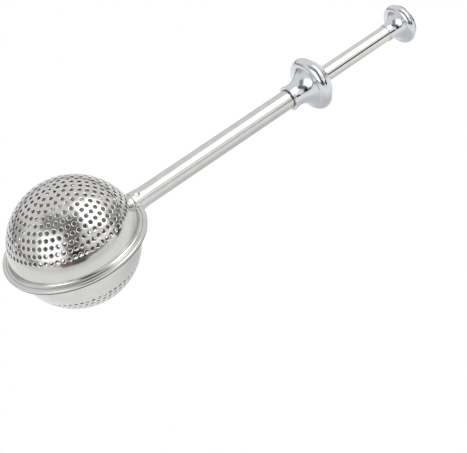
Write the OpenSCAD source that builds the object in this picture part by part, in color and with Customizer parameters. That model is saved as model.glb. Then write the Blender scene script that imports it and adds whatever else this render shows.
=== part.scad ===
// Push-type tea infuser: a perforated steel ball on a long handle. Pushing the knob turns the
// inner half of the ball about the handle's axis and into the outer half, which opens the ball.
// Origin: centre of the ball. +X runs along the handle to the knob, +Z to the fixed half's pole.

/* [Ball] */
// Outside radius of the fixed half ball
outer_r = 23.4; // [23:0.1:24]
// Sheet thickness of both half balls and of the handle tube
sheet_t = 0.4; // [0.3:0.05:0.5]
// Radial gap between the two half balls
shell_gap = 0.4; // [0.3:0.05:0.6]
// Radius of the rolled rim bead's own section
bead_r = 0.9; // [0.7:0.05:1.1]
// Outside radius of the rim over the bead
rim_r = 26; // [25.6:0.1:26.6]
// Height of the bead's centre over the handle's axis
bead_z = 0.45; // [0.3:0.05:0.6]
// Radius of the flare between the ball and the bead
flare_r = 1.3; // [1:0.1:1.5]
// How far the inner half reaches up inside the rim
inner_lap = 0.8; // [0.4:0.1:1.2]

/* [Perforations] */
// Radius of one hole
hole_r = 0.56; // [0.5:0.02:0.7]
// Angle at the ball's centre between two rings of holes
ring_step = 6.1; // [5.8:0.05:6.3]
// Number of rings of holes on the fixed half
outer_rings = 11; // [4:1:11]
// Number of rings of holes on the moving half
inner_rings = 10; // [4:1:11]

/* [Handle] */
// Outside radius of the handle tube
tube_r = 3.66; // [3.6:0.02:4]
// Where the handle tube starts, measured from the ball's centre
tube_start = 24.4; // [24.2:0.1:25]
// How much wider the handle tube is at its front end
tube_swell = 0.4; // [0:0.05:0.5]
// Where the handle tube ends, inside the collar
tube_end = 104; // [102:0.5:105]
// Outside radius of the plunger tube
plunger_r = 3.08; // [2.9:0.01:3.1]
// Wall thickness of the plunger tube
plunger_t = 0.4; // [0.3:0.05:0.45]
// Where the plunger tube starts when it is pulled out
plunger_start = 66; // [66:0.5:67]
// Where the plunger tube ends when it is pulled out
plunger_end = 150; // [149.5:0.5:150.5]
// Travel of the plunger
stroke = 32; // [28:0.5:32]

/* [Collar] */
// Where the collar's sleeve starts
collar_start = 96.6; // [94:0.1:98]
// Outside radius of the collar's sleeve
collar_sleeve_r = 4.5; // [4.3:0.05:4.7]
// Radius of the trumpet flare between the sleeve and the ring
collar_flare_r = 7; // [5:0.5:8]
// Where the centre of the collar's ring lies along the handle
collar_ring_x = 107.8; // [107:0.1:108]
// Radius of the ring's centre line
collar_ring_r = 8.05; // [7.8:0.05:8.3]
// Radius of the ring's own section
collar_section = 2.4; // [2.2:0.05:2.6]

/* [Knob] */
// Where the knob's sleeve starts
knob_start = 146; // [145:0.1:146.5]
// Outside radius of the knob's sleeve
knob_sleeve_r = 3.4; // [3.35:0.05:3.6]
// Radius of the trumpet flare between the sleeve and the ring
knob_flare_r = 5; // [4:0.5:6]
// Where the centre of the knob's ring lies along the handle
knob_ring_x = 153.6; // [153.4:0.1:153.8]
// Radius of the ring's centre line
knob_ring_r = 6.2; // [6:0.05:6.4]
// Radius of the ring's own section
knob_section = 1.75; // [1.6:0.05:1.8]

/* [Hidden] */
$fn = 64;

// Overlap of solids that join, reach of a cut past a face, and a size beyond everything
eps = 0.01;
past = 1;
far = 60;

outer_in = outer_r - sheet_t;
inner_r = outer_in - shell_gap;
inner_in = inner_r - sheet_t;
tube_bore = tube_r - sheet_t;
swell_len = 4.6;
plunger_bore = plunger_r - plunger_t;
half_turn = 180;

// Flare of the rim: its arc ends inside the bead
flare_dip = 0.45;
flare_z = bead_z + flare_dip + flare_r;
flare_x = sqrt(pow(outer_r - sheet_t / 2, 2) - flare_z * flare_z) + flare_r;

// Neck: the moving half has a short round neck, the fixed half a half-round one over it
half_neck_t = 0.36;
half_neck_r = tube_bore + 0.14;
half_neck_end = tube_start + 1.5;
neck_run = 0.1;
neck_t = 0.4;
neck_bore_r = tube_bore - half_neck_t;
neck_r = neck_bore_r - neck_run;
neck_end = half_neck_end - 0.2;
neck_ear_r = neck_r + 1;
neck_root = sqrt(inner_r * inner_r - neck_r * neck_r) - sheet_t / 2;

// Bearing of the spindle in the front of the handle tube
journal_r = 1.5;
journal_run = 0.05;
plug_lap = 0.4;
washer_t = 0.65;
bush_start = half_neck_end + journal_run + washer_t;
bush_end = bush_start + 6;
clip_t = 0.55;
clip_w = 0.9;
journal_end = bush_end + clip_t + 0.25;

// Twisted strip and the nut that runs on it
strip_w = 3.6;
strip_t = 0.8;
strip_end = plunger_start + 7;
tang_w = 2.4;
tang_len = 3;
nut_disc_t = 1.5;
nut_len = 4;
slot_play = 0.4;
twist_rate = half_turn / stroke;

// Key in the handle tube and its slot in the plunger
key_x = plunger_start + 8;
key_r = 0.55;
key_play = 0.08;
key_tip = plunger_bore + 0.08;

// Far pivot
rivet_r = 0.8;
rivet_run = 0.05;
ear_r = 1.9;
rivet_head_r = 1.3;
rivet_head_t = 0.5;
pivot_washer_r = 1.6;
pivot_washer_t = 0.4;
pivot_gap = 0.06;

// Dimple punched in the handle tube over the neck bush
dimple_x = tube_start + 2.7;
dimple_turn = 44;
dimple_ball_r = 1.7;
dimple_depth = 0.1;

// End faces of the collar and the knob, and the arc of the ring that they start from
collar_end = 113;
collar_end_r = 4.4;
knob_end = 156;
knob_face_r = 5;
ring_shoulder = 62;

// Friction ring in the collar
slide_run = 0.09;
seal_x = 109.8;
seal_section = 0.42;
seal_gap = 0.04;
seal_groove = 2 * seal_section + 0.1;

// Plug and stud that hold the knob
plug_start = plunger_end - 8;
stud_r = 1.6;
stud_end = plunger_end + 3;

// Points of an arc about (cx, cy), from one angle to the other
function arc(cx, cy, r, from, to, steps) =
    [for (i = [0 : steps]) let (a = from + (to - from) * i / steps)
        [cx + r * cos(a), cy + r * sin(a)]];

// A cylinder along X between two stations
module rod_x(r, x0, x1) {
    translate([x0, 0, 0]) rotate([0, 90, 0]) cylinder(r = r, h = x1 - x0);
}

// Sheet of a whole thin ball
module ball_sheet(r) {
    difference() {
        sphere(r = r);
        sphere(r = r - sheet_t);
    }
}

// Rings of round holes about the pole, six more holes in each ring than in the one before
module perforations(r, rings) {
    for (ring = [0 : rings], i = [0 : max(0, 6 * ring - 1)])
        rotate([0, 0, (i + ring % 2 / 2) * 360 / max(1, 6 * ring)])
            rotate([0, ring * ring_step, 0])
                translate([0, 0, r - 2 * sheet_t])
                    cylinder(r = hole_r, h = 3 * sheet_t, $fn = 24);
}

// Section of the flare and the rolled bead, drawn as [radius, z]
module rim_section() {
    intersection() {
        translate([flare_x, flare_z]) difference() {
            circle(r = flare_r + sheet_t / 2);
            circle(r = flare_r - sheet_t / 2);
        }
        translate([flare_x - 2 * flare_r, flare_z - 2 * flare_r])
            square([2 * flare_r, 2 * flare_r + eps]);
    }
    translate([rim_r - bead_r, bead_z]) circle(r = bead_r);
}

// Upper half of a cylinder along X
module half_rod_x(r, x0, x1) {
    intersection() {
        rod_x(r, x0, x1);
        translate([0, -far, 0]) cube([far, 2 * far, far]);
    }
}

// Half-round neck of the fixed half, over the moving half's neck
module half_neck() {
    difference() {
        half_rod_x(half_neck_r, inner_r, half_neck_end);
        sphere(r = outer_in);
    }
}

// Outside of the handle tube: a cylinder with a slightly swollen front end
module tube_outside(x1) {
    rod_x(tube_r, tube_start, x1);
    translate([tube_start, 0, 0]) rotate([0, 90, 0])
        cylinder(r1 = tube_r + tube_swell, r2 = tube_r - eps, h = swell_len);
}

// Seat of the handle tube: the half-round neck keeps only what fits in the tube's bore
module tube_seat() {
    difference() {
        tube_outside(far);
        half_rod_x(tube_bore, tube_start - past, half_neck_end);
    }
}

// Fixed half ball with its flare, rim bead, half-round neck and the ear of the far pivot
module outer_shell() {
    color("silver") difference() {
        union() {
            intersection() {
                ball_sheet(outer_r);
                union() {
                    translate([-far, -far, flare_z]) cube([2 * far, 2 * far, far]);
                    rod_x(ear_r, -far, 0);
                }
            }
            rotate_extrude() rim_section();
            half_neck();
        }
        perforations(outer_r, outer_rings);
        tube_seat();
        rod_x(neck_bore_r, inner_r - 2 * past, far);
        rod_x(rivet_r, -far, -inner_r + 2 * past);
    }
}

// Moving half ball with its neck and the ear of the far pivot
module inner_shell() {
    color("gainsboro") difference() {
        union() {
            intersection() {
                ball_sheet(inner_r);
                union() {
                    translate([-far, -far, -2 * far]) cube([2 * far, 2 * far, 2 * far + inner_lap]);
                    rod_x(ear_r, -far, 0);
                    rod_x(neck_ear_r, 0, far);
                }
            }
            rod_x(neck_r, neck_root, neck_end);
        }
        mirror([0, 0, 1]) perforations(inner_r, inner_rings);
        rod_x(neck_r - neck_t, inner_in - 2 * past, far);
        rod_x(rivet_r + rivet_run, -far, -inner_r + 2 * past);
    }
}

module handle_tube() {
    color("silver") difference() {
        tube_outside(tube_end);
        rod_x(tube_bore, tube_start - past, tube_end + past);
        rotate([dimple_turn, 0, 0])
            translate([dimple_x, 0, tube_r + dimple_ball_r - dimple_depth])
                sphere(r = dimple_ball_r);
        translate([key_x, 0, -tube_r - past]) cylinder(r = key_r, h = 2 * past);
    }
}

module neck_bush() {
    color("white") difference() {
        rod_x(tube_bore, bush_start, bush_end);
        rod_x(journal_r + journal_run, bush_start - past, bush_end + past);
    }
}

module thrust_washer() {
    color("silver") difference() {
        rod_x(tube_bore, bush_start - washer_t, bush_start);
        rod_x(journal_r + journal_run, bush_start - past, bush_start + past);
    }
}

// Plug in the neck of the moving half and the journal that turns in the neck bush
module spindle_journal() {
    color("darkgray") difference() {
        union() {
            rod_x(neck_r - neck_t, inner_in - plug_lap, half_neck_end);
            rod_x(journal_r, half_neck_end - past, journal_end);
        }
        strip_tang();
    }
}

module journal_clip() {
    color("dimgray") difference() {
        rod_x(journal_r + clip_w, bush_end + journal_run, bush_end + journal_run + clip_t);
        rod_x(journal_r, bush_end - past, bush_end + 2 * past);
    }
}

// Angle of the strip at a station: it lies flat in the nut's slot when the ball is shut
function strip_turn(x) = (x - plunger_start - nut_disc_t / 2) * twist_rate;

// Flat tang of the strip, let into the end of the journal
module strip_tang() {
    rotate([strip_turn(journal_end), 0, 0])
        translate([journal_end - tang_len, -tang_w / 2, -strip_t / 2])
            cube([tang_len + 0.2, tang_w, strip_t]);
}

module twisted_strip() {
    length = strip_end - journal_end;
    color("lightsteelblue") union() {
        strip_tang();
        translate([journal_end, 0, 0]) rotate([strip_turn(journal_end), 0, 0]) rotate([0, 90, 0])
            linear_extrude(height = length, twist = -length * twist_rate,
                slices = ceil(length), $fn = 4)
                square([strip_t, strip_w], center = true);
    }
}

module drive_nut() {
    color("ivory") difference() {
        rod_x(plunger_bore, plunger_start, plunger_start + nut_len);
        translate([plunger_start + nut_disc_t / 2, 0, 0])
            cube([2 * nut_disc_t, strip_w + slot_play, strip_t + slot_play], center = true);
        rod_x(strip_w / 2 + slot_play, plunger_start + nut_disc_t, plunger_start + nut_len + past);
    }
}

module plunger_tube() {
    color("whitesmoke") difference() {
        rod_x(plunger_r, plunger_start, plunger_end);
        rod_x(plunger_bore, plunger_start - past, plunger_end + past);
        for (x = [key_x, key_x + stroke])
            translate([x, 0, -plunger_r - past]) cylinder(r = key_r + key_play, h = 2 * past);
        translate([key_x, -key_r - key_play, -plunger_r - past])
            cube([stroke, 2 * (key_r + key_play), 2 * past]);
    }
}

module guide_key() {
    color("dimgray") intersection() {
        translate([key_x, 0, -tube_r]) cylinder(r = key_r, h = tube_r - key_tip);
        rod_x(tube_r, key_x - 2 * key_r, key_x + 2 * key_r);
    }
}

module knob_plug() {
    color("dimgray") union() {
        rod_x(plunger_bore, plug_start, plunger_end);
        rod_x(stud_r, plunger_end - past, stud_end);
    }
}

// A trumpet turned about the handle's axis: a sleeve, a concave flare, a ring and an end face
module trumpet(x0, sleeve_r, flare, ring_x, ring_r, section, x1, face_r) {
    flare_c = ring_x - section - sqrt(flare * flare - pow(sleeve_r + flare - ring_r, 2));
    rotate([90, 0, 90]) rotate_extrude() {
        translate([0, x0]) square([sleeve_r, ring_x - x0]);
        difference() {
            translate([0, flare_c]) square([ring_r, ring_x - flare_c]);
            translate([sleeve_r + flare, flare_c]) circle(r = flare, $fn = 128);
        }
        translate([ring_r, ring_x]) circle(r = section);
        polygon([[0, ring_x - eps], each arc(ring_r, ring_x, section, 0, ring_shoulder, 6),
            [face_r, x1], [0, x1]]);
    }
}

module finger_collar() {
    color("lightgray") difference() {
        trumpet(collar_start, collar_sleeve_r, collar_flare_r, collar_ring_x, collar_ring_r,
            collar_section, collar_end, collar_end_r);
        rod_x(tube_r, collar_start - past, tube_end);
        rod_x(plunger_r + slide_run, tube_end - past, collar_end + past);
        rod_x(plunger_r + seal_groove, seal_x - seal_groove / 2, seal_x + seal_groove / 2);
    }
}

module friction_ring() {
    color("dimgray") rotate([90, 0, 90]) rotate_extrude()
        translate([plunger_r + seal_gap + seal_section, seal_x]) circle(r = seal_section);
}

module thumb_knob() {
    color("lightgray") difference() {
        trumpet(knob_start, knob_sleeve_r, knob_flare_r, knob_ring_x, knob_ring_r,
            knob_section, knob_end, knob_face_r);
        rod_x(plunger_r, knob_start - past, plunger_end);
        rod_x(stud_r, plunger_end - past, stud_end);
    }
}

module pivot_rivet() {
    tail_x = -inner_in + pivot_gap + pivot_washer_t;
    color("silver") union() {
        rod_x(rivet_head_r, -outer_r - rivet_head_t, -outer_r);
        rod_x(rivet_r, -outer_r - eps, tail_x + eps);
        rod_x(rivet_head_r, tail_x, tail_x + rivet_head_t);
    }
}

module pivot_spacer() {
    color("white") difference() {
        rod_x(pivot_washer_r, -outer_in + pivot_gap, -inner_r - eps);
        rod_x(rivet_r, -far, 0);
    }
}

module pivot_washer() {
    color("silver") difference() {
        rod_x(pivot_washer_r, -inner_in + pivot_gap, -inner_in + pivot_gap + pivot_washer_t);
        rod_x(rivet_r, -far, 0);
    }
}

outer_shell();
inner_shell();
handle_tube();
neck_bush();
thrust_washer();
spindle_journal();
journal_clip();
twisted_strip();
drive_nut();
plunger_tube();
knob_plug();
thumb_knob();
finger_collar();
friction_ring();
guide_key();
pivot_rivet();
pivot_spacer();
pivot_washer();
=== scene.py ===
"""Push-type tea infuser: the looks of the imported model.

Lengths are millimetres in the frame of the CAD model, and become metres when a piece is made.
Origin: centre of the ball. +X runs along the handle to the knob, +Z to the fixed half's pole.
"""

import math

import bpy
from mathutils import Matrix, Vector
from mathutils.geometry import delaunay_2d_cdt


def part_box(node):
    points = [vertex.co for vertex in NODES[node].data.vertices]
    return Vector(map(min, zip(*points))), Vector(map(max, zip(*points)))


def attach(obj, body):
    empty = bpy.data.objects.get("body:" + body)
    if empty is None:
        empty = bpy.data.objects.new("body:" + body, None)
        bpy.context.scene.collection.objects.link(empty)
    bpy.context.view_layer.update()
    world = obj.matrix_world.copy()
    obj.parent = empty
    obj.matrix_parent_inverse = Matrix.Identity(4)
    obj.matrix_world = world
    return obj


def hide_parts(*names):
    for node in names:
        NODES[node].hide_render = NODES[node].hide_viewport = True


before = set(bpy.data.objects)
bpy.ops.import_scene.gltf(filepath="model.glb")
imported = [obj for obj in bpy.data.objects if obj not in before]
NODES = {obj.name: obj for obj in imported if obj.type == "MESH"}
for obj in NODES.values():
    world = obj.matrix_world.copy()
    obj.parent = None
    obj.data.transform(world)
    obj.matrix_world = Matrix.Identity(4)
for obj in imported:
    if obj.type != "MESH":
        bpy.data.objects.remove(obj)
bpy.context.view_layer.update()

MM = 0.001
HALF_TURN = math.pi
FULL_TURN = 2 * math.pi
# Edges that turn by more than this are sharp
CREASE = math.radians(35)


# ---------------------------------------------------------------- sizes from the frame
def span(node):
    """Lowest and highest corner of a CAD node, in millimetres."""
    low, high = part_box(node)
    return low / MM, high / MM


# Holes as they look in the photo, wider than the CAD's; angle between rings as in the CAD
HOLE_R = 0.66
RING_STEP = math.radians(6.1)
OUTER_RINGS = 11
INNER_RINGS = 10
SHEET_T = 0.4
EAR_R = 1.9
RIVET_R = 0.8
STROKE = 32

OUTER_R = 23.4
RIM_R = span("outer_shell")[1].y
INNER_R = span("inner_shell")[1].y
TUBE_START, TUBE_END = span("handle_tube")[0].x, span("handle_tube")[1].x
TUBE_BORE = span("neck_bush")[1].y
TUBE_R = TUBE_BORE + SHEET_T
TUBE_SWELL = 0.55
PLUNGER_START, PLUNGER_END = span("plunger_tube")[0].x, span("plunger_tube")[1].x
PLUNGER_R = span("plunger_tube")[1].y
PLUNGER_BORE = span("drive_nut")[1].y
COLLAR_START, COLLAR_END = span("finger_collar")[0].x, span("finger_collar")[1].x
COLLAR_R = span("finger_collar")[1].y
KNOB_START, KNOB_END = span("thumb_knob")[0].x, span("thumb_knob")[1].x
KNOB_R = span("thumb_knob")[1].y
KEY_X = (span("guide_key")[0].x + span("guide_key")[1].x) / 2
KEY_R = span("guide_key")[1].y


# ---------------------------------------------------------------- mesh building
class Sheet:
    """Points, wanted normals and faces of one piece. A zero normal is worked out from the faces."""

    def __init__(self):
        self.points = []
        self.normals = []
        self.faces = []
        self.inner = []

    def add(self, point, normal=(0, 0, 0)):
        """Adds a point and returns its number."""
        self.points.append(Vector(point))
        self.normals.append(Vector(normal))
        return len(self.points) - 1

    def face(self, *corners):
        """Adds a face, leaving out corners that repeat the one before."""
        kept = [c for i, c in enumerate(corners) if c != corners[i - 1]]
        if len(kept) > 2:
            self.faces.append(kept)

    def strip(self, first, second):
        """Quads between two rows of the same length; seen from outside, second lies below first."""
        for a, b, c, d in zip(first, second, second[1:], first[1:]):
            self.face(a, b, c, d)

    def lining_from(self, first):
        """Marks every face made since the given count as the lining, the second material; on the fixed
        half it is a dark painted shade.
        """
        self.inner += range(first, len(self.faces))

    def mirror_z(self):
        """Turns the piece upside down as a mirror image, with its faces still looking out."""
        for vector in self.points + self.normals:
            vector.z = -vector.z
        self.faces = [face[::-1] for face in self.faces]

    def piece(self, name, body, materials, stands_for):
        """Makes the object, lets it ride on its body and hides the CAD node that it stands for."""
        mesh = bpy.data.meshes.new(name)
        mesh.from_pydata([p * MM for p in self.points], [], self.faces)
        for face in self.inner:
            mesh.polygons[face].material_index = 1
        mesh.validate()
        mesh.shade_smooth()
        mesh.set_sharp_from_angle(angle=CREASE)
        if any(n.length for n in self.normals):
            mesh.normals_split_custom_set_from_vertices([tuple(n) for n in self.normals])
        for material in materials:
            mesh.materials.append(material)
        made = bpy.data.objects.new(name, mesh)
        bpy.context.scene.collection.objects.link(made)
        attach(made, body)
        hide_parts(stands_for)
        return made


def arc(cx, cy, radius, start, end, steps):
    """Points of an arc, from one angle to the other, in degrees."""
    turns = [math.radians(start + (end - start) * i / steps) for i in range(steps + 1)]
    return [(cx + radius * math.cos(a), cy + radius * math.sin(a)) for a in turns]


def bend(start, middle, end, steps):
    """Points of a quadratic curve after its start."""
    points = []
    for i in range(1, steps + 1):
        t = i / steps
        points.append(tuple((1 - t) ** 2 * a + 2 * t * (1 - t) * b + t * t * c
                            for a, b, c in zip(start, middle, end)))
    return points


def lathe_x(sheet, profile, columns, start=0.0, turn=FULL_TURN):
    """A solid about the handle's axis. The profile is a closed loop of (x, radius)."""
    whole = abs(turn - FULL_TURN) < 1e-6
    rows = []
    for x, radius in profile:
        angles = [start + turn * i / columns for i in range(columns + (0 if whole else 1))]
        row = [sheet.add((x, radius * math.cos(a), radius * math.sin(a))) for a in angles]
        rows.append(row + row[:1] if whole else row)
    for first, second in zip(rows, rows[1:] + rows[:1]):
        sheet.strip(second, first)
    if not whole:
        sheet.faces.append([row[0] for row in rows])
        sheet.faces.append([row[-1] for row in rows][::-1])


# ---------------------------------------------------------------- half balls
HOLE_SIDES = 16
COLUMNS = 300
# Plain sheet between the last ring's holes and the cap's edge
CAP_MARGIN = 0.55

# Lip of one hole and the underside: distance beyond the hole's edge, height over the sheet, lean of
# the normal in degrees
LIP = ((0.36, 0.0, 0), (0.28, -0.006, 8), (0.18, -0.03, 20), (0.09, -0.07, 36), (0.02, -0.13, 56))
UNDER = ((0.0, -0.2, 78), (0.0, -0.4, 95), (0.08, -0.45, 170), (0.36, -0.4, 180))


def on_ball(tilt, around):
    """Unit vector at an angle from the pole and an angle about it."""
    return Vector((math.sin(tilt) * math.cos(around), math.sin(tilt) * math.sin(around),
                   math.cos(tilt)))


def hole_axes(rings):
    """Direction of every hole and two tangents: each ring has six more holes than the last."""
    for ring in range(rings + 1):
        count = max(1, 6 * ring)
        for i in range(count):
            around = FULL_TURN * (i + ring % 2 / 2) / count
            centre = on_ball(ring * RING_STEP, around)
            away = on_ball(ring * RING_STEP + HALF_TURN / 2, around)
            yield centre, away, centre.cross(away)


def hole_loop(sheet, ball_r, axes, extra, height, lean):
    """Loop of points round one hole, wider than the hole and over or under the sheet."""
    centre, away, side = axes
    shell = ball_r + height
    spread = math.asin((HOLE_R + extra) / shell)
    loop = []
    for k in range(HOLE_SIDES):
        t = FULL_TURN * k / HOLE_SIDES
        out = away * math.cos(t) + side * math.sin(t)
        normal = centre * math.cos(spread) + out * math.sin(spread)
        tangent = out * math.cos(spread) - centre * math.sin(spread)
        tilt = math.radians(lean)
        loop.append(sheet.add(normal * shell, normal * math.cos(tilt) - tangent * math.sin(tilt)))
    return loop


def flat_map(point):
    """Place of a point of the ball on a flat map about the pole."""
    tilt = math.acos(max(-1, min(1, point.normalized().z)))
    around = math.atan2(point.y, point.x)
    return Vector((tilt * math.cos(around), tilt * math.sin(around)))


def perforated_cap(sheet, ball_r, rings):
    """Cap of the ball with all its holes. Returns its outer and inner edge rows."""
    edge_tilt = rings * RING_STEP + (HOLE_R + CAP_MARGIN) / ball_r
    above, below = [], []
    for axes in hole_axes(rings):
        loops = [hole_loop(sheet, ball_r, axes, *step) for step in LIP + UNDER]
        for k, (first, second) in enumerate(zip(loops, loops[1:])):
            start = len(sheet.faces)
            sheet.strip(second + second[:1], first + first[:1])
            # The inner part of the lip, the hole's wall and the underside take the lining: painted shade
            # on the fixed half.
            if k >= len(LIP) - 1:
                sheet.lining_from(start)
        above += loops[0]
        below += loops[-1]
    edges = []
    for first in range(0, len(above), HOLE_SIDES):
        edges += [(first + k, first + (k + 1) % HOLE_SIDES) for k in range(HOLE_SIDES)]
    rim = len(above)
    edges += [(rim + k, rim + (k + 1) % COLUMNS) for k in range(COLUMNS)]
    for k in range(COLUMNS):
        normal = on_ball(edge_tilt, FULL_TURN * k / COLUMNS)
        above.append(sheet.add(normal * ball_r, normal))
        below.append(sheet.add(normal * (ball_r - SHEET_T), -normal))
    flat = [flat_map(sheet.points[i]) for i in above]
    for corners in delaunay_2d_cdt(flat, edges, [], 0, 1e-7)[2]:
        holes = {c // HOLE_SIDES for c in corners}
        if len(holes) == 1 and max(corners) < rim:
            continue
        sheet.face(*[above[c] for c in corners])
        # The sheet's underside takes the lining: painted shade on the fixed half.
        start = len(sheet.faces)
        sheet.face(*[below[c] for c in reversed(corners)])
        sheet.lining_from(start)
    return edge_tilt, above[rim:], below[rim:]


# Rolled bead: its section has a flattened crown, and a seam below where the roll closes. The seam's
# groove takes the lining, a dark painted shade for the gap line under the bead.
BEAD_R, BEAD_Z = 0.86, 0.45
BEAD_INSET = 0.9
BEAD_START, BEAD_END, BEAD_STEPS = 133, -196, 64
CROWN_TURN, CROWN_FLATNESS = 78, 3.2
SEAM_TURN, SEAM_HALF, SEAM_DEPTH = -33, 19, 0.32
FLARE_R = 1.3
FLARE_Z = 2 * BEAD_Z + FLARE_R
OPEN_TURNS = range(0, 48, 6)

# Half-round neck of the fixed half, and the round neck of the moving half inside it
NECK_R, NECK_BORE, NECK_END = TUBE_R + TUBE_SWELL, TUBE_BORE - 0.36, TUBE_START + 1.5
NECK_FILLET = 0.5
SMALL_NECK_R, SMALL_NECK_BORE, SMALL_NECK_END = TUBE_BORE - 0.46, TUBE_BORE - 0.86, TUBE_START + 1.3


def on_circle(radius, other):
    """Other leg of a right triangle in a circle."""
    return math.sqrt(radius ** 2 - other ** 2)


def bead_outline():
    """Angles and (radius, height) points of the bead's section, over its crown and round its seam."""
    turns = [BEAD_START + (BEAD_END - BEAD_START) * i / BEAD_STEPS for i in range(BEAD_STEPS + 1)]
    points = []
    for turn in turns:
        off_crown, a = math.radians(turn - CROWN_TURN), math.radians(turn)
        flat = abs(math.cos(off_crown)) ** CROWN_FLATNESS + abs(math.sin(off_crown)) ** CROWN_FLATNESS
        r = BEAD_R - SEAM_DEPTH * max(0.0, 1 - ((turn - SEAM_TURN) / SEAM_HALF) ** 2)
        r *= flat ** (-1 / CROWN_FLATNESS)
        points.append((RIM_R - BEAD_INSET + r * math.cos(a), BEAD_Z + r * math.sin(a)))
    return turns, points


def half_neck(sheet):
    """Half-round neck with a fillet to the ball; it ends inside the handle tube."""
    inner_ball = OUTER_R - SHEET_T
    root_r = NECK_R + NECK_FILLET
    skin = on_circle(OUTER_R, root_r)
    fillet = bend((skin, root_r), (skin, NECK_R), (skin + NECK_FILLET, NECK_R), 6)
    lathe_x(sheet, [(on_circle(inner_ball, root_r), root_r), (skin, root_r), *fillet,
                    (TUBE_START, NECK_R), (TUBE_START, TUBE_BORE), (NECK_END, TUBE_BORE),
                    (NECK_END, NECK_BORE), (on_circle(inner_ball, NECK_BORE), NECK_BORE)],
            48, 0.0, HALF_TURN)


def far_ear(sheet):
    """Disc of the ball's sheet round the far pivot's rivet."""
    radii = (RIVET_R, 1.1, 1.5, EAR_R)
    inside = [(-on_circle(OUTER_R - SHEET_T, r), r) for r in radii[::-1]]
    outside = [(-on_circle(OUTER_R, r), r) for r in radii]
    lathe_x(sheet, inside + outside, 48)


def fixed_half(*materials):
    """Fixed half ball: cap, band, flare, rolled bead, half-round neck and ear in one piece."""
    inner_ball = OUTER_R - SHEET_T
    flare_c = on_circle(OUTER_R - SHEET_T / 2, FLARE_Z) + FLARE_R
    wall_r = (NECK_R + NECK_BORE) / 2
    seat_r = (TUBE_R + TUBE_BORE) / 2
    sheet = Sheet()
    edge_tilt, top, bottom = perforated_cap(sheet, OUTER_R, OUTER_RINGS)

    def row(radius, z, normal=None):
        """Points round the ball at one radius and height, cut short at the neck or the tube."""
        clear = seat_r if radius > TUBE_START else wall_r
        gap = math.sqrt(max(0.0, clear ** 2 - z ** 2))
        first = math.asin(gap / radius)
        closed = first == 0
        made = []
        for i in range(COLUMNS + (0 if closed else 1)):
            around = first + (FULL_TURN - 2 * first) * i / COLUMNS
            spot = Vector((radius * math.cos(around), radius * math.sin(around), z))
            made.append(sheet.add(spot, spot.normalized() * normal if normal else (0, 0, 0)))
        return made + made[:1] if closed else made

    edge_z = OUTER_R * math.cos(edge_tilt)
    heights = [edge_z + (wall_r - edge_z) * i / 6 for i in range(1, 6)]
    open_heights = [wall_r * math.cos(math.radians(a)) for a in OPEN_TURNS]
    heights += [z for z in open_heights if z > FLARE_Z + 0.05]
    outside = [top + top[:1]] + [row(on_circle(OUTER_R, z), z, 1) for z in heights]
    inside = [bottom + bottom[:1]] + [row(on_circle(inner_ball, z), z, -1) for z in heights]
    outside += [row(*p) for p in arc(flare_c, FLARE_Z, FLARE_R - SHEET_T / 2, 180, 274, 12)]
    inside += [row(*p) for p in arc(flare_c, FLARE_Z, FLARE_R + SHEET_T / 2, 180, 264, 12)]
    turns, points = bead_outline()
    bead = [row(*p) for p in points]

    loop = outside + bead + inside[::-1]
    for k, (first, second) in enumerate(zip(loop, loop[1:]), -len(outside)):
        start = len(sheet.faces)
        sheet.strip(first, second)
        # The seam's faces take the lining: painted shade of the dark gap line under the bead.
        if 0 <= k < BEAD_STEPS and abs(turns[k] - SEAM_TURN) < SEAM_HALF:
            sheet.lining_from(start)
    for (a, b), (c, d) in zip(zip(outside, inside), zip(outside[1:], inside[1:])):
        if c[0] != c[-1]:
            sheet.face(a[0], b[0], d[0], c[0])
            sheet.face(a[-1], c[-1], d[-1], b[-1])
    ends = [outside[-1]] + bead + [inside[-1]]
    sheet.faces.append([r[0] for r in ends][::-1])
    sheet.faces.append([r[-1] for r in ends])
    half_neck(sheet)
    far_ear(sheet)
    return sheet.piece("fixed_half_ball", "handle", materials, "outer_shell")


def moving_half(*materials):
    """Moving half ball: cap, band with its two ears, and round neck. Built pole up, then mirrored."""
    ears = ((0.0, SMALL_NECK_R + 1.0), (HALF_TURN, EAR_R))
    lap = 0.8
    sheet = Sheet()
    edge_tilt, top, bottom = perforated_cap(sheet, INNER_R, INNER_RINGS)

    def rim_z(around):
        """Height of the rim: it drops round each ear."""
        low = -lap
        for centre, ear_r in ears:
            y = INNER_R * math.sin(around - centre)
            if abs(y) < ear_r and math.cos(around - centre) > 0:
                low = min(low, -math.sqrt(ear_r ** 2 - y * y))
        return low

    def row(ball_r, share, normal, edge_z):
        """Points round the ball, at a share of the way from the cap's edge to the rim."""
        made = []
        for i in range(COLUMNS):
            around = FULL_TURN * i / COLUMNS
            z = edge_z + (rim_z(around) - edge_z) * share
            flat_r = on_circle(ball_r, z)
            spot = Vector((flat_r * math.cos(around), flat_r * math.sin(around), z))
            made.append(sheet.add(spot, spot.normalized() * normal))
        return made + made[:1]

    steps = 12
    edge_z = INNER_R * math.cos(edge_tilt)
    inner_ball = INNER_R - SHEET_T
    outside = [top + top[:1]] + [row(INNER_R, i / steps, 1, edge_z) for i in range(1, steps + 1)]
    edge_z = inner_ball * math.cos(edge_tilt)
    inside = [bottom + bottom[:1]] + [row(inner_ball, i / steps, -1, edge_z) for i in range(1, steps + 1)]
    loop = outside + inside[::-1]
    for first, second in zip(loop, loop[1:]):
        sheet.strip(first, second)
    sheet.mirror_z()
    root = on_circle(INNER_R, SMALL_NECK_R) - SHEET_T / 2
    lathe_x(sheet, [(root, SMALL_NECK_R), (SMALL_NECK_END, SMALL_NECK_R),
                    (SMALL_NECK_END, SMALL_NECK_BORE), (root, SMALL_NECK_BORE)], 64)
    return sheet.piece("moving_half_ball", "moving_half", materials, "inner_shell")


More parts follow.
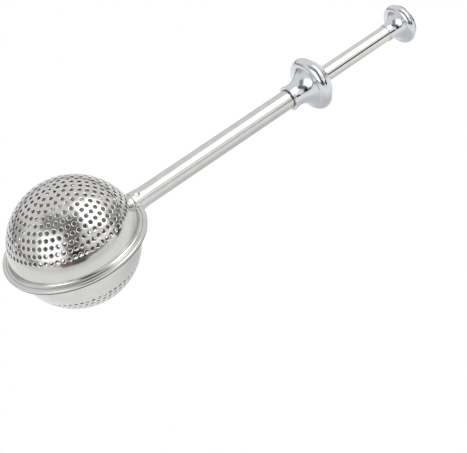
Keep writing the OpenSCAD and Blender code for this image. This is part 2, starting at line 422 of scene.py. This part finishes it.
# ---------------------------------------------------------------- handle and fittings
def handle_tube(*materials):
    """Tube with a swollen front end and one dimple."""
    columns = 192
    dimple_x, dimple_turn = TUBE_START + 2.6, math.radians(120)
    dimple_ball, dimple_depth = 2.2, 0.24
    shoulder, swell_length, swell_power = 0.05, 5.2, 1.3
    rounding = 0.8
    fine_length, fine_steps, fine_step = 5.0, 50, 0.1

    def tube_r(x):
        """Radius of the tube: a little larger at its front end."""
        t = min(1.0, max(0.0, (x - TUBE_START) / swell_length))
        return TUBE_R + TUBE_SWELL * (1 - t) ** swell_power

    ball_out = tube_r(dimple_x) + dimple_ball - dimple_depth

    def dimpled(x, radius, a):
        """Radius at one spot: a ball pressed in from the side takes some off."""
        across = radius * math.sin(a - dimple_turn)
        near = math.hypot(x - dimple_x, across)
        if near >= dimple_ball or math.cos(a - dimple_turn) <= 0:
            return radius
        floor = ball_out - on_circle(dimple_ball, near)
        return radius - max(0.0, radius * math.cos(a - dimple_turn) - floor)

    outline = []
    for x, fall in arc(TUBE_START + shoulder, -shoulder, shoulder, 168, 90, 8):
        outline.append((x, tube_r(x) + fall * rounding))
    fine_start = outline[-1][0] + fine_step
    stations = [fine_start + fine_length * i / fine_steps for i in range(fine_steps + 1)]
    outline += [(x, tube_r(x)) for x in (*stations, TUBE_START + swell_length, TUBE_END)]
    sheet = Sheet()
    rows = []
    for x, radius in outline + [(TUBE_END, TUBE_BORE), (TUBE_START, TUBE_BORE)]:
        made = []
        for i in range(columns):
            a = FULL_TURN * i / columns
            r = radius if radius == TUBE_BORE else dimpled(x, radius, a)
            made.append(sheet.add((x, r * math.cos(a), r * math.sin(a))))
        rows.append(made + made[:1])
    for first, second in zip(rows, rows[1:] + rows[:1]):
        sheet.strip(second, first)
    return sheet.piece("satin_handle_tube", "handle", materials, "handle_tube")


def trumpet(sleeve_r, flare_r, ring_x, ring_r, section, shoulder):
    """Outline of a concave flare from a sleeve to a ring, and of the ring to its far shoulder."""
    reach = on_circle(flare_r, sleeve_r + flare_r - ring_r)
    flare_x = ring_x - section - reach
    last = math.degrees(math.atan2(ring_r - sleeve_r - flare_r, reach))
    flare = arc(flare_x, sleeve_r + flare_r, flare_r, -90, last, 28)
    return flare + arc(ring_x, ring_r, section, 176, shoulder, 40)


def finger_collar(*materials):
    """Collar with a turned-out lip, a trumpet and a ring; bored for the handle tube and the plunger."""
    sleeve_r, flare_r, section, shoulder = 4.5, 7.0, 2.4, 28
    ring_x = COLLAR_START + 11.2
    lip_r, lip_edge = 4.9, 0.2
    throat_depth, throat_r = 0.5, TUBE_R + 0.32
    bore, chamfer = PLUNGER_R + 0.09, 0.25
    lip_top = (COLLAR_START + 0.3, lip_r)
    lip_waist = (COLLAR_START + 1.2, sleeve_r + 0.05)
    lip_end = (COLLAR_START + 2.6, sleeve_r)
    face_corner, face_edge = (COLLAR_END - 0.1, 7.2), (COLLAR_END, 4.2)
    outline = arc(COLLAR_START + lip_edge, lip_r - lip_edge, lip_edge, 180, 80, 6)
    outline += bend(lip_top, lip_waist, lip_end, 8)
    outline += trumpet(sleeve_r, flare_r, ring_x, COLLAR_R - section, section, shoulder)[1:]
    outline += bend(outline[-1], face_corner, face_edge, 10)
    outline += [(COLLAR_END, bore + chamfer), (COLLAR_END - chamfer, bore), (TUBE_END, bore),
                (TUBE_END, TUBE_R), (COLLAR_START + throat_depth, TUBE_R),
                (COLLAR_START + throat_depth, throat_r), (COLLAR_START, throat_r)]
    sheet = Sheet()
    lathe_x(sheet, outline, 192)
    return sheet.piece("chrome_finger_collar", "handle", materials, "finger_collar")


def thumb_knob(*materials):
    """Knob with a sleeve, a trumpet and a ring; a groove sets its crowned end face off."""
    sleeve_r, flare_r, section, shoulder = 3.4, 5.0, 1.75, 30
    ring_x = KNOB_START + 7.6
    edge = 0.12
    groove_width, groove_depth, groove_slope = 0.8, 0.9, 0.05
    face_step, crown_step, pad_r = 0.4, 0.6, 5.0
    outline = arc(KNOB_START + edge, sleeve_r - edge, edge, 180, 90, 4)
    outline += trumpet(sleeve_r, flare_r, ring_x, KNOB_R - section, section, shoulder)
    x, r = outline[-1]
    outline += [(x + groove_slope, r - groove_depth), (x + groove_width - groove_slope, r - groove_depth),
                (x + groove_width, r - face_step)]
    outline += bend(outline[-1], (KNOB_END, r - crown_step), (KNOB_END, pad_r), 8)
    outline += [(KNOB_END, 0.0), (PLUNGER_END, 0.0), (PLUNGER_END, PLUNGER_R), (KNOB_START, PLUNGER_R)]
    sheet = Sheet()
    lathe_x(sheet, outline, 192)
    return sheet.piece("chrome_thumb_knob", "plunger", materials, "thumb_knob")


def plunger_tube(*materials):
    """Tube with the long slot that the guide key runs in, on its underside."""
    columns = 120
    # Half the slot's width, in columns
    slot_half = 4
    slot_start, slot_end = KEY_X - KEY_R, KEY_X + STROKE + KEY_R
    stations = (PLUNGER_START, slot_start, slot_end, PLUNGER_END)
    sheet = Sheet()
    shells = []
    for radius in (PLUNGER_R, PLUNGER_BORE):
        rows = []
        for x in stations:
            made = [sheet.add((x, radius * math.sin(FULL_TURN * i / columns),
                               -radius * math.cos(FULL_TURN * i / columns))) for i in range(columns)]
            rows.append(made + made[:1])
        shells.append(rows)
    outer, inner = shells
    slot_columns = [*range(slot_half), *range(columns - slot_half, columns)]
    before, along, after = range(3)
    for k in (before, along, after):
        for i in range(columns):
            if k == along and i in slot_columns:
                continue
            sheet.face(outer[k][i], outer[k][i + 1], outer[k + 1][i + 1], outer[k + 1][i])
            sheet.face(inner[k][i], inner[k + 1][i], inner[k + 1][i + 1], inner[k][i + 1])
    for rows, flip in ((0, False), (3, True)):
        for i in range(columns):
            ring = [outer[rows][i], inner[rows][i], inner[rows][i + 1], outer[rows][i + 1]]
            sheet.face(*(ring[::-1] if flip else ring))
    for i in (slot_half, columns - slot_half):
        wall = [outer[1][i], outer[2][i], inner[2][i], inner[1][i]]
        sheet.face(*(wall if i == slot_half else wall[::-1]))
    for i in slot_columns:
        sheet.face(outer[1][i], outer[1][i + 1], inner[1][i + 1], inner[1][i])
        sheet.face(outer[2][i], inner[2][i], inner[2][i + 1], outer[2][i + 1])
    return sheet.piece("polished_plunger_tube", "plunger", materials, "plunger_tube")


# ---------------------------------------------------------------- node graphs
class Graph:
    """Short calls for building a node tree."""

    def __init__(self, tree):
        self.tree = tree
        tree.nodes.clear()

    def put(self, socket, value):
        """Links a socket to another one, or gives it a plain value."""
        if isinstance(value, bpy.types.NodeSocket):
            self.tree.links.new(value, socket)
        else:
            socket.default_value = value

    def add(self, kind, **sockets):
        made = self.tree.nodes.new(kind)
        for name, value in sockets.items():
            self.put(made.inputs[name.replace("_", " ")], value)
        return made

    def math(self, operation, a, b=0.0):
        made = self.tree.nodes.new("ShaderNodeMath")
        made.operation = operation
        self.put(made.inputs[0], a)
        self.put(made.inputs[1], b)
        return made.outputs[0]

    def dot(self, a, b):
        made = self.tree.nodes.new("ShaderNodeVectorMath")
        made.operation = "DOT_PRODUCT"
        self.put(made.inputs[0], a)
        self.put(made.inputs[1], b)
        return made.outputs["Value"]

    def smooth(self, value, low, high, to_low=0.0, to_high=1.0):
        made = self.tree.nodes.new("ShaderNodeMapRange")
        made.interpolation_type = "SMOOTHSTEP"
        for name, number in (("Value", value), ("From Min", low), ("From Max", high),
                             ("To Min", to_low), ("To Max", to_high)):
            self.put(made.inputs[name], number)
        return made.outputs[0]

    def mix(self, share, a, b):
        """Colour or number a where share is 0 and b where it is 1."""
        made = self.tree.nodes.new("ShaderNodeMix")
        made.data_type = "RGBA"
        self.put(made.inputs[0], share)
        self.put(made.inputs[6], a)
        self.put(made.inputs[7], b)
        return made.outputs[2]


def new_graph(name):
    """New material and the graph of its nodes, empty."""
    material = bpy.data.materials.new(name)
    material.use_nodes = True
    return material, Graph(material.node_tree)


def steel(name, colour, roughness, grain=(900, 900, 900), grain_depth=0.02, spread=0.05):
    """Stainless steel or chrome: fine grain in the bump, cloudy roughness and a faint tone drift."""
    material, graph = new_graph(name)
    place = graph.add("ShaderNodeTexCoord").outputs["Object"]
    stretched = graph.add("ShaderNodeMapping", Vector=place, Scale=grain).outputs[0]
    fine = graph.add("ShaderNodeTexNoise", Vector=stretched, Scale=1.0, Detail=3.0).outputs[0]
    cloud = graph.add("ShaderNodeTexNoise", Vector=place, Scale=220.0, Detail=4.0).outputs[0]
    rough = graph.smooth(cloud, 0.3, 0.7, roughness - spread / 2, roughness + spread / 2)
    dark = tuple(c * 0.95 for c in colour)
    tone = graph.mix(graph.smooth(cloud, 0.35, 0.65), (*dark, 1), (*colour, 1))
    bump = graph.add("ShaderNodeBump", Strength=grain_depth, Distance=0.0001, Height=fine)
    shader = graph.add("ShaderNodeBsdfPrincipled", Base_Color=tone, Metallic=1.0,
                       Roughness=rough, Normal=bump.outputs[0])
    graph.add("ShaderNodeOutputMaterial", Surface=shader.outputs[0])
    return material


def lining(name, colour):
    """Unpolished inside of the sheet: spreads the light that comes in through the holes. The fixed half's
    dark colour for it is painted shade.
    """
    material, graph = new_graph(name)
    place = graph.add("ShaderNodeTexCoord").outputs["Object"]
    cloud = graph.add("ShaderNodeTexNoise", Vector=place, Scale=400.0, Detail=4.0).outputs[0]
    dark = tuple(c * 0.92 for c in colour)
    tone = graph.mix(graph.smooth(cloud, 0.3, 0.7), (*dark, 1), (*colour, 1))
    shader = graph.add("ShaderNodeBsdfPrincipled", Base_Color=tone, Metallic=0.25, Roughness=0.5)
    graph.add("ShaderNodeOutputMaterial", Surface=shader.outputs[0])
    return material


def plastic(name, colour, roughness):
    """Plain plastic or rubber with a faint drift in tone and surface."""
    material, graph = new_graph(name)
    place = graph.add("ShaderNodeTexCoord").outputs["Object"]
    cloud = graph.add("ShaderNodeTexNoise", Vector=place, Scale=900.0, Detail=3.0).outputs[0]
    dark = tuple(c * 0.9 for c in colour)
    tone = graph.mix(cloud, (*dark, 1), (*colour, 1))
    bump = graph.add("ShaderNodeBump", Strength=0.1, Distance=0.0001, Height=cloud)
    shader = graph.add("ShaderNodeBsdfPrincipled", Base_Color=tone, Roughness=roughness,
                       Normal=bump.outputs[0])
    graph.add("ShaderNodeOutputMaterial", Surface=shader.outputs[0])
    return material


def paint(material, *names):
    """Gives one material to CAD pieces that are shown as they are."""
    for name in names:
        mesh = NODES[name].data
        mesh.materials.clear()
        mesh.materials.append(material)


# ---------------------------------------------------------------- camera
SENSOR_MM = 36.0
FOCAL_MM = 92.5
CAMERA_AT = Vector((-97.6, -328.57, 227.39)) * MM
CAMERA_LOOK = Vector((0.3474, 0.7338, -0.5839)).normalized()
CAMERA_UP = Vector((0.5423, 0.3508, 0.7635)).normalized()
BACK = -CAMERA_LOOK
RIGHT = CAMERA_UP.cross(BACK).normalized()
UP = BACK.cross(RIGHT).normalized()


def make_camera():
    """Camera fitted to the photo's view."""
    data = bpy.data.cameras.new("camera")
    data.sensor_fit = "HORIZONTAL"
    data.sensor_width = SENSOR_MM
    data.lens = FOCAL_MM
    data.clip_start = 0.01
    data.clip_end = 20
    camera = bpy.data.objects.new("camera", data)
    bpy.context.scene.collection.objects.link(camera)
    turn = Matrix((RIGHT, UP, BACK)).transposed().to_4x4()
    camera.matrix_world = Matrix.Translation(CAMERA_AT) @ turn
    bpy.context.scene.camera = camera


# ---------------------------------------------------------------- studio
ROOM = (0.87, 0.865, 0.86)
# Dark band low round the room: its colour, and the heights where it starts and is full, and where
# it starts to end and has ended
HORIZON = (0.15, 0.145, 0.14)
HORIZON_RISE = (0.03, 0.06)
HORIZON_FALL = (0.10, 0.14)

# Soft boxes and flags round the object, later ones in front of earlier ones. Seen from the camera:
# degrees to the right and up (0, 0 is the camera), half width, half height, soft edge, light
CARDS = (
    (95, 10, 62, 11, 9, (1.12, 1.11, 1.09)),
    (-112, 8, 22, 12, 16, (0.52, 0.52, 0.52)),
    (95, 34, 18, 9, 9, (0.42, 0.42, 0.42)),
    (-32, 31, 21, 12, 12, (0.33, 0.33, 0.33)),
    (-168, 15, 13, 9, 6, (1.7, 1.7, 1.7)),
    (45, 50, 18, 22, 14, (2.5, 2.5, 2.46)),
    (-35, -11, 18, 22, 20, (1.8, 1.8, 1.8)),
    (3, 12, 12, 32, 12, (0.19, 0.185, 0.18)),
    (14, -24, 14, 16, 12, (0.02, 0.018, 0.018)),
    (-8, -36, 9, 8, 6, (0.34, 0.17, 0.16)),
)


def card_share(graph, direction, card):
    """How much of a card lies in a direction: 1 inside, 0 outside, smooth between."""
    right, up, half_w, half_h, soft = card
    right, up = math.radians(right), math.radians(up)
    to = Vector((math.sin(right) * math.cos(up), math.sin(up), math.cos(right) * math.cos(up)))
    across = Vector((0, 1, 0)).cross(to).normalized()
    along = to.cross(across)
    world = [RIGHT * v.x + UP * v.y + BACK * v.z for v in (to, across, along)]
    ahead, sideways, upward = (graph.dot(direction, tuple(v)) for v in world)
    depth = graph.math("MAXIMUM", ahead, 0.001)
    share = graph.smooth(ahead, 0.0, 0.02)
    for value, half in ((sideways, half_w), (upward, half_h)):
        offset = graph.math("ABSOLUTE", graph.math("DIVIDE", value, depth))
        far_edge = math.tan(math.radians(half + soft / 2))
        near_edge = math.tan(math.radians(half - soft / 2))
        share = graph.math("MULTIPLY", share, graph.smooth(offset, near_edge, far_edge, 1.0, 0.0))
    return share


def make_world():
    """Room light with cards and a dark band, seen in reflections; the camera sees plain white."""
    world = bpy.data.worlds.new("studio")
    bpy.context.scene.world = world
    world.use_nodes = True
    graph = Graph(world.node_tree)
    direction = graph.add("ShaderNodeTexCoord").outputs["Generated"]
    light = (*ROOM, 1)
    for *card, level in CARDS:
        light = graph.mix(card_share(graph, direction, card), light, (*level, 1))
    height = graph.dot(direction, (0, 0, 1))
    rise = graph.smooth(height, *HORIZON_RISE)
    fall = graph.smooth(height, *HORIZON_FALL, 1.0, 0.0)
    light = graph.mix(graph.math("MULTIPLY", rise, fall), light, (*HORIZON, 1))
    room = graph.add("ShaderNodeBackground", Color=light)
    backdrop = graph.add("ShaderNodeBackground", Color=(1, 1, 1, 1))
    seen = graph.add("ShaderNodeLightPath").outputs["Is Camera Ray"]
    mixed = graph.add("ShaderNodeMixShader")
    graph.put(mixed.inputs[0], seen)
    graph.put(mixed.inputs[1], room.outputs[0])
    graph.put(mixed.inputs[2], backdrop.outputs[0])
    graph.add("ShaderNodeOutputWorld", Surface=mixed.outputs[0])


# Floor, in metres: drop below the object, half its side, and the shaded oval's centre and radii.
# Shades: distance from the centre in radii of the oval, from and to, and the light there
FLOOR_DROP = 0.03
FLOOR_HALF = 4.0
SHADE_X = 0.10
SHADE_RADII = (0.06, 0.045)
UNDER_SHADE = (0.5, 2.2, 0.70, 1.0)
FAR_SHADE = (5.0, 14.0, 1.0, 0.82)


def make_floor():
    """Floor: plain white to the camera, in reflections darker under the object and far off."""
    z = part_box("inner_shell")[0].z - FLOOR_DROP
    half = FLOOR_HALF
    mesh = bpy.data.meshes.new("floor")
    mesh.from_pydata([(-half, -half, z), (half, -half, z), (half, half, z), (-half, half, z)],
                     [], [(0, 1, 2, 3)])
    floor = bpy.data.objects.new("floor", mesh)
    bpy.context.scene.collection.objects.link(floor)
    material, graph = new_graph("floor")
    place = graph.add("ShaderNodeTexCoord").outputs["Object"]
    centred = graph.add("ShaderNodeMapping", Vector=place, Location=(-SHADE_X, 0, 0)).outputs[0]
    scale = (1 / SHADE_RADII[0], 1 / SHADE_RADII[1], 0)
    squashed = graph.add("ShaderNodeMapping", Vector=centred, Scale=scale).outputs[0]
    reach = graph.math("SQRT", graph.dot(squashed, squashed))
    under = graph.smooth(reach, *UNDER_SHADE)
    far_off = graph.smooth(reach, *FAR_SHADE)
    light = graph.math("MULTIPLY", under, far_off)
    seen = graph.add("ShaderNodeLightPath").outputs["Is Camera Ray"]
    light = graph.math("MAXIMUM", light, seen)
    shader = graph.add("ShaderNodeEmission", Color=(1, 1, 1, 1), Strength=light)
    clear = graph.add("ShaderNodeBsdfTransparent")
    below = graph.add("ShaderNodeNewGeometry").outputs["Backfacing"]
    sided = graph.add("ShaderNodeMixShader")
    graph.put(sided.inputs[0], below)
    graph.put(sided.inputs[1], shader.outputs[0])
    graph.put(sided.inputs[2], clear.outputs[0])
    graph.add("ShaderNodeOutputMaterial", Surface=sided.outputs[0])
    mesh.materials.append(material)


# Flag: size, the spot on the plunger that it faces, distance from it, and degrees to the right
FLAG_SIZE = (0.075, 0.042)
FLAG_FACES = Vector((0.125, 0, 0))
FLAG_AWAY = 0.15
FLAG_TURN = 59
FLAG_LIGHT = 0.06


def make_flag():
    """Dark card that the camera can't see, beside the plunger: it draws the dark line along the tube."""
    to = math.radians(FLAG_TURN)
    heading = (RIGHT * math.sin(to) + BACK * math.cos(to)).normalized()
    centre = FLAG_FACES + heading * FLAG_AWAY
    across = Vector((1, 0, 0))
    along = heading.cross(across).normalized()
    across = along.cross(heading).normalized()
    w, h = FLAG_SIZE[0] / 2, FLAG_SIZE[1] / 2
    corners = [centre + across * a * w + along * b * h for a, b in ((-1, -1), (1, -1), (1, 1), (-1, 1))]
    mesh = bpy.data.meshes.new("flag")
    mesh.from_pydata(corners, [], [(0, 1, 2, 3)])
    flag = bpy.data.objects.new("flag", mesh)
    bpy.context.scene.collection.objects.link(flag)
    flag.visible_camera = False
    flag.visible_shadow = False
    material, graph = new_graph("flag")
    shader = graph.add("ShaderNodeEmission", Color=(1, 1, 1, 1), Strength=FLAG_LIGHT)
    graph.add("ShaderNodeOutputMaterial", Surface=shader.outputs[0])
    mesh.materials.append(material)


# ---------------------------------------------------------------- build
# The fixed half's lining is painted shade: a dark colour inside its holes, under its sheet and in the
# bead's seam.
fixed_painted_shade_lining = lining("fixed_half_painted_shade", (0.16, 0.155, 0.15))
moving_lining = lining("moving_half_lining", (0.60, 0.59, 0.58))
shell_steel = steel("shell_steel", (0.66, 0.655, 0.645), 0.11)
inner_shell_steel = steel("moving_half_steel", (0.66, 0.66, 0.645), 0.2)
satin_steel = steel("satin_tube", (0.68, 0.67, 0.66), 0.2, (60, 900, 900), 0.008)
polished_steel = steel("polished_tube", (0.72, 0.71, 0.69), 0.06, (60, 900, 900), 0.01, 0.03)
chrome = steel("chrome", (0.69, 0.71, 0.735), 0.04, (900, 900, 900), 0.005, 0.02)
turned_steel = steel("turned_steel", (0.56, 0.56, 0.55), 0.25)
acetal = plastic("acetal", (0.85, 0.85, 0.82), 0.35)
silicone = plastic("silicone", (0.22, 0.22, 0.23), 0.6)

fixed_half(shell_steel, fixed_painted_shade_lining)
moving_half(inner_shell_steel, moving_lining)
handle_tube(satin_steel)
plunger_tube(polished_steel)
finger_collar(chrome)
thumb_knob(chrome)
paint(turned_steel, "thrust_washer", "spindle_journal", "journal_clip", "twisted_strip",
      "knob_plug", "guide_key", "pivot_rivet", "pivot_washer")
paint(acetal, "neck_bush", "drive_nut", "pivot_spacer")
paint(silicone, "friction_ring")

bpy.context.scene.view_settings.view_transform = "Standard"
make_world()
make_floor()
make_flag()
make_camera()
